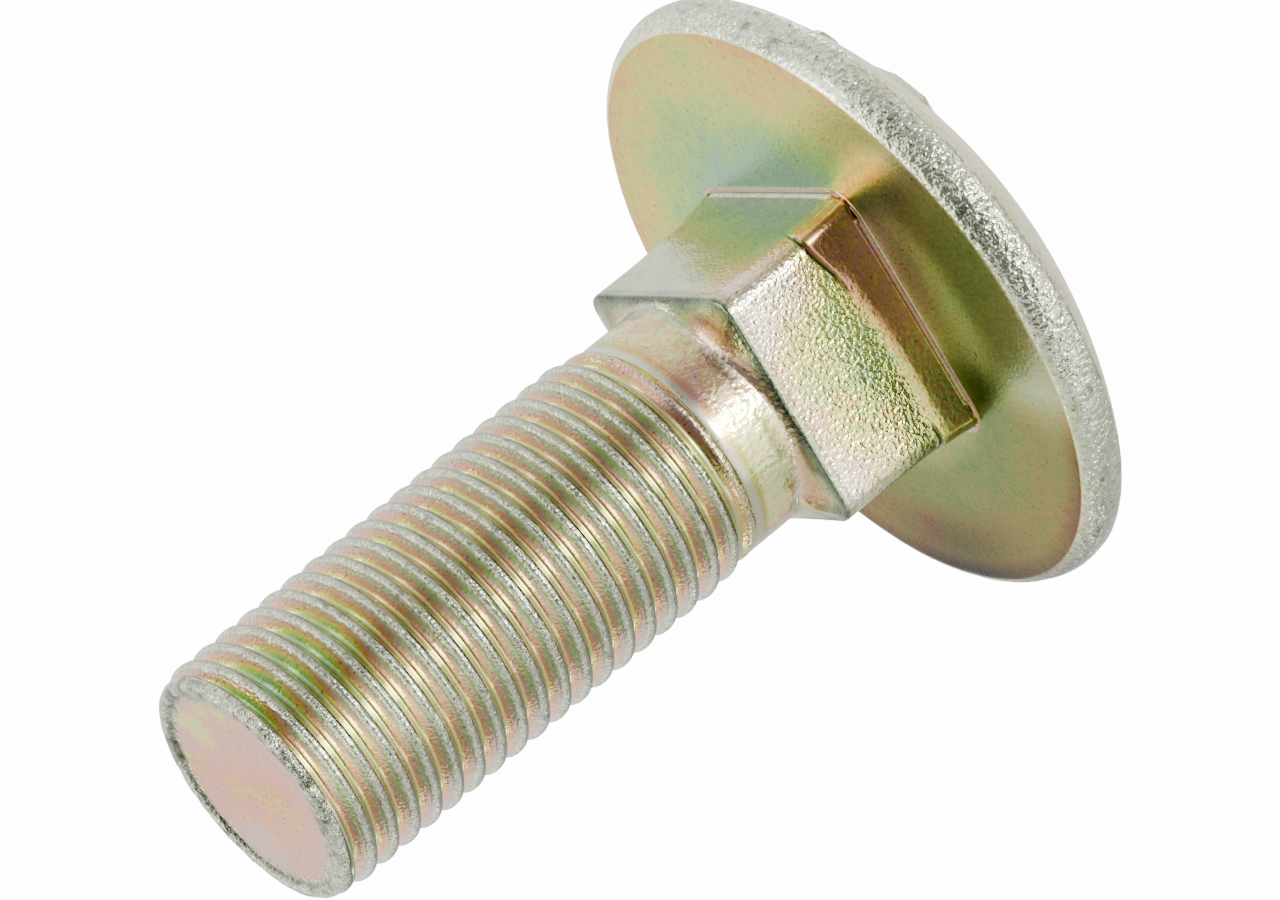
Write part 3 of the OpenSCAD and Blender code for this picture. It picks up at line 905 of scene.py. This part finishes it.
# Each surface by how it was made. The values are the size of its grain in mm and how steep that is,
# the roughness where it is smooth and where it is grainy, the size in mm and strength of the clouds in
# its film, and the strength of its scratches.
SURFACES = (
    # Struck flat by the die and rubbed in the barrel, so it mirrors softly and shows fine scratches
    ("Zinc_Chromated_Bearing_Face_Satin", 0.20, 0.10, 0.26, 0.30, 0.5, 0.06, 0.16),
    # Left as the die struck it, so its sheen is broken up like the peel of an orange
    ("Zinc_Chromated_Dome_Forged", 0.30, 0.30, 0.24, 0.28, 0.9, 0.06, 0.0),
    # Knocked about in the barrel, so it sparkles in small bright and dark facets
    ("Zinc_Chromated_Rim_Tumbled", 0.26, 0.34, 0.18, 0.20, 0.6, 0.09, 0.0),
    # Squeezed square with the skin of the steel on it, so it looks like fine sand under a bright film
    ("Zinc_Chromated_Neck_Grained", 0.20, 0.15, 0.18, 0.20, 0.35, 0.10, 0.0),
    # Drawn through a die, so it is bright and even with soft clouds
    ("Zinc_Chromated_Shank_Drawn", 0.26, 0.15, 0.17, 0.19, 0.4, 0.12, 0.0),
    # Pressed smooth between rolling dies, so its sides gleam, and its crests are grainy and rubbed
    ("Zinc_Chromated_Thread_Rolled", 0.15, 0.25, 0.16, 0.22, 0.3, 0.07, 0.0),
    # Sheared off the rod, so it is gritty with a dull shine
    ("Zinc_Chromated_End_Sheared", 0.17, 0.4, 0.22, 0.20, 0.24, 0.13, 0.0),
)

# Width, length and distance from the axis in mm at which the fine scratches are drawn. They are drawn
# coarser than the real ones, or they would not show.
SCRATCH_WIDTH, SCRATCH_LENGTH, SCRATCH_RADIUS = 0.15, 0.5, 10.0

# Size in mm of the specks of soil
SPECK_SIZE = 0.16

# Height of the noise that gives a mean slope of 1 over a grain of 1
GRAIN_HEIGHT_PER_SLOPE = 1.9

# How much the film darkens and lightens with the same grain
GRAIN_TONE = 1.2


def add_node(tree, kind, settings=None, links=None):
    """Add one node, set its properties and sockets, and link sockets from other nodes."""
    node = tree.nodes.new(kind)
    for name, value in (settings or {}).items():
        if isinstance(name, str) and hasattr(node, name):
            setattr(node, name, value)
        else:
            node.inputs[name].default_value = value
    for name, source in (links or {}).items():
        tree.links.new(source, node.inputs[name])
    return node


def finishes(colours):
    """One material for each surface, in the order of the zones of the skin."""
    return [chromated_zinc(colours, *surface) for surface in SURFACES]


def chromated_zinc(colours, name, grain_mm, slope, smooth, rough, mottle_mm, mottle, scratch):
    """Zinc plate with a yellow chromate film, satin and iridescent."""
    material = bpy.data.materials.new(name)
    material.use_nodes = True
    tree = material.node_tree
    tree.nodes.clear()
    output = add_node(tree, "ShaderNodeOutputMaterial")
    shader = add_node(tree, "ShaderNodeBsdfPrincipled", {"Metallic": 1.0})
    tree.links.new(shader.outputs[0], output.inputs[0])
    place = add_node(tree, "ShaderNodeTexCoord")
    in_mm = add_node(tree, "ShaderNodeVectorMath", {"operation": "SCALE", "Scale": 1 / MM},
                     {0: place.outputs["Object"]})
    where = in_mm.outputs[0]
    paint = {name: add_node(tree, "ShaderNodeAttribute", {"attribute_name": name}).outputs["Fac"]
             for name in PAINT}
    streaks = scratch_noise(tree, where)
    grit = add_node(tree, "ShaderNodeTexNoise", {"Scale": 1 / grain_mm, "Detail": 1.0, "Roughness": 0.45},
                    {"Vector": where}).outputs[0]

    film = film_colour(tree, where, paint, streaks, mottle_mm, mottle, scratch)
    coat = rubbed_colour(tree, film, paint, grit, linear(colours.zinc))
    toned = toned_colour(tree, coat, paint, grit, streaks, scratch)
    final = soiled_and_shaded_colour(tree, where, toned, paint, linear(colours.soil_and_shade))
    tree.links.new(final, shader.inputs["Base Color"])

    # A dull film also takes the white out of grazing reflections
    graze = add_node(tree, "ShaderNodeMapRange",
                     {"From Min": 0.25, "From Max": 0.55, "To Min": 0.8, "To Max": 1.0},
                     {"Value": paint["tone"]})
    tree.links.new(graze.outputs[0], shader.inputs["Specular Tint"])
    dull = add_node(tree, "ShaderNodeMapRange", {"To Min": smooth, "To Max": rough}, {"Value": paint["grain"]})
    tree.links.new(dull.outputs[0], shader.inputs["Roughness"])

    # The grain and the scratches stand out of the surface
    grains = add_node(tree, "ShaderNodeMath", {"operation": "MULTIPLY"}, {0: grit, 1: paint["grain"]})
    height = add_node(tree, "ShaderNodeMath", {"operation": "MULTIPLY_ADD", 1: 0.4 * scratch},
                      {0: streaks, 2: grains.outputs[0]})
    bump = add_node(tree, "ShaderNodeBump",
                    {"Distance": slope * grain_mm * GRAIN_HEIGHT_PER_SLOPE * MM, "Strength": 1.0},
                    {"Height": height.outputs[0]})
    tree.links.new(bump.outputs[0], shader.inputs["Normal"])
    return material


def scratch_noise(tree, where):
    """Fine scratches that run out from the axis."""
    parts = add_node(tree, "ShaderNodeSeparateXYZ", {}, {0: where})
    angle = add_node(tree, "ShaderNodeMath", {"operation": "ARCTAN2"},
                     {0: parts.outputs[1], 1: parts.outputs[0]})
    around = add_node(tree, "ShaderNodeMath", {"operation": "MULTIPLY", 1: SCRATCH_RADIUS / SCRATCH_WIDTH},
                      {0: angle.outputs[0]})
    reach = add_node(tree, "ShaderNodeVectorMath", {"operation": "LENGTH"}, {0: where})
    along = add_node(tree, "ShaderNodeMath", {"operation": "DIVIDE", 1: SCRATCH_LENGTH},
                     {0: reach.outputs["Value"]})
    lay = add_node(tree, "ShaderNodeCombineXYZ", {}, {0: around.outputs[0], 1: along.outputs[0]})
    streaks = add_node(tree, "ShaderNodeTexNoise", {"Scale": 1.0, "Detail": 1.0, "Roughness": 0.45},
                       {"Vector": lay.outputs[0]})
    return streaks.outputs[0]


def film_colour(tree, where, paint, streaks, mottle_mm, mottle, scratch):
    """Colour of the film by its thickness: as painted, in clouds, and thinned or thickened by scratches."""
    cloud = add_node(tree, "ShaderNodeTexNoise", {"Scale": 1 / mottle_mm, "Detail": 4.0, "Roughness": 0.6},
                     {"Vector": where})
    clouded = add_node(tree, "ShaderNodeMapRange",
                       {"From Min": 0.3, "From Max": 0.7, "To Min": -mottle, "To Max": mottle, "clamp": False},
                       {"Value": cloud.outputs[0]})
    even = add_node(tree, "ShaderNodeMath", {"operation": "ADD"}, {0: paint["film"], 1: clouded.outputs[0]})
    scratched = add_node(tree, "ShaderNodeMath",
                         {"operation": "MULTIPLY_ADD", 1: 0.8 * scratch, 2: -0.4 * scratch}, {0: streaks})
    thickness = add_node(tree, "ShaderNodeMath", {"operation": "ADD"},
                         {0: even.outputs[0], 1: scratched.outputs[0]})
    share = add_node(tree, "ShaderNodeMath", {"operation": "DIVIDE", 1: FILM_SPAN}, {0: thickness.outputs[0]})
    ramp = add_node(tree, "ShaderNodeValToRGB", {}, {0: share.outputs[0]})
    bands = ramp.color_ramp.elements
    while len(bands) > 1:
        bands.remove(bands[-1])
    bands[0].position = 0
    bands[0].color = linear(FILM_COLOURS[0][1])
    for at, colour in FILM_COLOURS[1:]:
        bands.new(at / FILM_SPAN).color = linear(colour)
    return ramp.outputs[0]


def rubbed_colour(tree, film, paint, grit, zinc):
    """Bare zinc that shows through the film, evenly where it is pale and ragged where tumbling rubbed it."""
    thin = add_node(tree, "ShaderNodeMix", {"data_type": "RGBA", 7: zinc}, {0: paint["pale"], 6: film})
    ragged = add_node(tree, "ShaderNodeMath", {"operation": "MULTIPLY_ADD", 1: 0.9, 2: -0.45}, {0: grit})
    edge = add_node(tree, "ShaderNodeMath", {"operation": "ADD"}, {0: paint["rub"], 1: ragged.outputs[0]})
    bare = add_node(tree, "ShaderNodeMapRange", {"From Min": 0.3, "From Max": 0.62}, {"Value": edge.outputs[0]})
    coat = add_node(tree, "ShaderNodeMix", {"data_type": "RGBA", 7: zinc},
                    {0: bare.outputs[0], 6: thin.outputs[2]})
    return coat.outputs[2]


def toned_colour(tree, coat, paint, grit, streaks, scratch):
    """The coat, darker and lighter as painted, which includes painted shade and painted highlights, and along
    its grain and scratches.
    """
    fade = add_node(tree, "ShaderNodeMath",
                    {"operation": "MULTIPLY_ADD", 1: 1.6 * scratch, 2: 1 - 0.8 * scratch}, {0: streaks})
    grains = add_node(tree, "ShaderNodeMath",
                      {"operation": "MULTIPLY_ADD", 1: GRAIN_TONE, 2: -0.5 * GRAIN_TONE}, {0: grit})
    faded = add_node(tree, "ShaderNodeMath", {"operation": "MULTIPLY_ADD"},
                     {0: grains.outputs[0], 1: paint["grain"], 2: fade.outputs[0]})
    level = add_node(tree, "ShaderNodeMath", {"operation": "MULTIPLY"}, {0: paint["tone"], 1: faded.outputs[0]})
    toned = add_node(tree, "ShaderNodeVectorMath", {"operation": "SCALE"}, {0: coat, "Scale": level.outputs[0]})
    return toned.outputs[0]


def soiled_and_shaded_colour(tree, where, toned, paint, soil_and_shade):
    """Dark specks of soil, and the marks painted in the soil colour: pits and specks of dirt, and painted shade
    in creases and cracks.
    """
    specks = add_node(tree, "ShaderNodeTexNoise", {"Scale": 1 / SPECK_SIZE, "Detail": 2.0}, {"Vector": where})
    dots = add_node(tree, "ShaderNodeMapRange", {"From Min": 0.65, "From Max": 0.71, "To Max": 0.7},
                    {"Value": specks.outputs[0]})
    dark_cover = add_node(tree, "ShaderNodeMath", {"operation": "MAXIMUM"}, {0: dots.outputs[0], 1: paint["soil_and_shade"]})
    capped = add_node(tree, "ShaderNodeMath", {"operation": "MINIMUM", 1: 1.0}, {0: dark_cover.outputs[0]})
    final = add_node(tree, "ShaderNodeMix", {"data_type": "RGBA", 7: soil_and_shade}, {0: capped.outputs[0], 6: toned})
    return final.outputs[2]


# Stage: floor, lights, world and camera

CAMERA_PLACE = Vector((405.18, 143.482, 201.602)) * MM
CAMERA_AIM = Vector((-0.256, 0.727, 18.418)) * MM
CAMERA_ROLL = math.radians(129.160)
FRAME_WIDTH, FOCAL_PIXELS, SENSOR_MM = 1280, 11000, 36

LIGHT_PLACE = Vector((-0.4, 0.3, 1.4))
LIGHT_SIZE = 1.2


def aim_direction(azimuth, elevation):
    """Direction from the middle of the tent, from angles in degrees."""
    a, e = math.radians(azimuth), math.radians(elevation)
    return (math.cos(a) * math.cos(e), math.sin(a) * math.cos(e), math.sin(e))


# Panels of the tent round the part: azimuth from the middle of the tent's open side, elevation, inner and
# outer angle, all in degrees, and added light. Light below the least is raised to it.
TENT_TURN = 19.5
TENT_BASE, TENT_LEAST = 0.64, 0.02
TENT_PANELS = (
    (-12, -19, 4, 10, 28.0), (110, 60, 4, 14, 1.6), (-12, -17, 8, 32, 0.8), (-42, -22, 8, 30, 0.7),
    (-2, 42, 22, 40, -0.5), (-42, 20, 8, 22, -0.42), (32, -24, 6, 24, -0.34), (32, 8, 6, 24, -0.3),
    (-112, -22, 20, 60, -0.2), (125, -24, 20, 60, 0.32), (180, 22, 18, 50, 0.42), (60, 42, 8, 26, 0.5),
    (62, 6, 2, 5, 9.0), (-66, 10, 2, 5, 9.0), (118, 8, 2, 5, 9.0), (-128, 2, 2, 5, 9.0),
    (170, 62, 2, 6, 9.0), (150, -46, 2, 5, 9.0), (-80, -58, 2, 5, 9.0), (25, -62, 2, 5, 9.0))


class BuildStage(bpy.types.Operator):
    """Set the pale floor, the soft studio light and the camera"""
    bl_idname = "scene.carriage_bolt_stage"
    bl_label = "Set the stage"

    def execute(self, context):
        scene = context.scene
        stage = scene.bolt_stage
        add_floor(scene, stage)
        add_world(scene, stage)
        add_light(scene, stage)
        add_camera(scene)
        return {"FINISHED"}


def backlit_acrylic(glow):
    """White acrylic sheet lit from below, a matt white with no shadow on it."""
    material = bpy.data.materials.new("Acrylic_White_Backlit")
    material.use_nodes = True
    shader = material.node_tree.nodes["Principled BSDF"]
    shader.inputs["Base Color"].default_value = linear("#f4f4f2")
    shader.inputs["Roughness"].default_value = 0.6
    shader.inputs["Emission Color"].default_value = linear("#ffffff")
    shader.inputs["Emission Strength"].default_value = glow
    return material


def add_floor(scene, stage):
    """The pale floor, which neither mirrors in the bolt nor takes its shadow."""
    half = stage.floor_size / 2
    mesh = bpy.data.meshes.new("Floor")
    corners = [(-half, -half, 0), (half, -half, 0), (half, half, 0), (-half, half, 0)]
    mesh.from_pydata(corners, [], [(0, 1, 2, 3)])
    mesh.materials.append(backlit_acrylic(stage.floor_glow))
    floor = bpy.data.objects.new("Floor", mesh)
    scene.collection.objects.link(floor)
    floor.visible_glossy = False
    floor.visible_shadow = False


def add_world(scene, stage):
    """The white tent, as an even light with brighter and darker panels."""
    world = bpy.data.worlds.new("White_Tent")
    scene.world = world
    world.use_nodes = True
    tree = world.node_tree
    tree.nodes.clear()
    output = add_node(tree, "ShaderNodeOutputWorld")
    background = add_node(tree, "ShaderNodeBackground", {"Strength": stage.surround})
    tree.links.new(background.outputs[0], output.inputs[0])
    place = add_node(tree, "ShaderNodeTexCoord")
    light = add_node(tree, "ShaderNodeValue")
    light.outputs[0].default_value = TENT_BASE
    for azimuth, elevation, inner, outer, amount in TENT_PANELS:
        direction = Vector(aim_direction(TENT_TURN + azimuth, elevation)).normalized()
        facing = add_node(tree, "ShaderNodeVectorMath", {"operation": "DOT_PRODUCT", 1: tuple(direction)},
                          {0: place.outputs["Generated"]})
        glow = add_node(tree, "ShaderNodeMapRange",
                        {"interpolation_type": "SMOOTHSTEP", "From Min": math.cos(math.radians(outer)),
                         "From Max": math.cos(math.radians(inner)), "To Max": amount},
                        {"Value": facing.outputs["Value"]})
        light = add_node(tree, "ShaderNodeMath", {"operation": "ADD"}, {0: light.outputs[0], 1: glow.outputs[0]})
    light = add_node(tree, "ShaderNodeMath", {"operation": "MAXIMUM", 1: TENT_LEAST}, {0: light.outputs[0]})
    tree.links.new(light.outputs[0], background.inputs[0])


def add_light(scene, stage):
    """The large soft light over the tent."""
    data = bpy.data.lights.new("Overhead_Softbox", "AREA")
    data.shape = "DISK"
    data.size = LIGHT_SIZE
    data.energy = stage.key_power
    light = bpy.data.objects.new("Overhead_Softbox", data)
    light.location = LIGHT_PLACE
    light.rotation_euler = (-LIGHT_PLACE).to_track_quat("-Z", "Y").to_euler()
    scene.collection.objects.link(light)


def add_camera(scene):
    """The camera at the angle of the photo, rolled so that the bolt lies across the frame."""
    forward = (CAMERA_AIM - CAMERA_PLACE).normalized()
    level_right = forward.cross(Vector((0, 0, 1))).normalized()
    level_up = level_right.cross(forward)
    up = level_up * math.cos(CAMERA_ROLL) + level_right * math.sin(CAMERA_ROLL)
    right = forward.cross(up)
    data = bpy.data.cameras.new("Camera")
    data.sensor_width = SENSOR_MM
    data.lens = FOCAL_PIXELS * SENSOR_MM / FRAME_WIDTH
    data.clip_start = 0.01
    camera = bpy.data.objects.new("Camera", data)
    camera.matrix_world = Matrix.Translation(CAMERA_PLACE) @ Matrix((right, up, -forward)).transposed().to_4x4()
    scene.collection.objects.link(camera)
    scene.camera = camera


class BoltPanel(bpy.types.Panel):
    bl_idname = "VIEW3D_PT_carriage_bolt"
    bl_label = "Carriage Bolt"
    bl_space_type = "VIEW_3D"
    bl_region_type = "UI"
    bl_category = "Carriage Bolt"

    def draw(self, context):
        layout = self.layout
        scene = context.scene
        for group in (scene.bolt_head, scene.bolt_neck, scene.bolt_thread, scene.bolt_finish, scene.bolt_stage):
            box = layout.box()
            for name in group.__annotations__:
                box.prop(group, name)
        layout.operator(BuildBolt.bl_idname)
        layout.operator(BuildStage.bl_idname)


GROUPS = (
    ("bolt_head", BoltHeadSizes), ("bolt_neck", BoltNeckSizes), ("bolt_thread", BoltThreadSizes),
    ("bolt_finish", BoltFinishColours), ("bolt_stage", BoltStageSettings))
OTHERS = (BuildBolt, BuildStage, BoltPanel)


def register():
    for name, group in GROUPS:
        bpy.utils.register_class(group)
        setattr(bpy.types.Scene, name, bpy.props.PointerProperty(type=group))
    for item in OTHERS:
        bpy.utils.register_class(item)


def unregister():
    for item in reversed(OTHERS):
        bpy.utils.unregister_class(item)
    for name, group in reversed(GROUPS):
        delattr(bpy.types.Scene, name)
        bpy.utils.unregister_class(group)


def main():
    register()
    bpy.ops.mesh.carriage_bolt()
    bpy.ops.scene.carriage_bolt_stage()


if __name__ == "__main__":
    main()
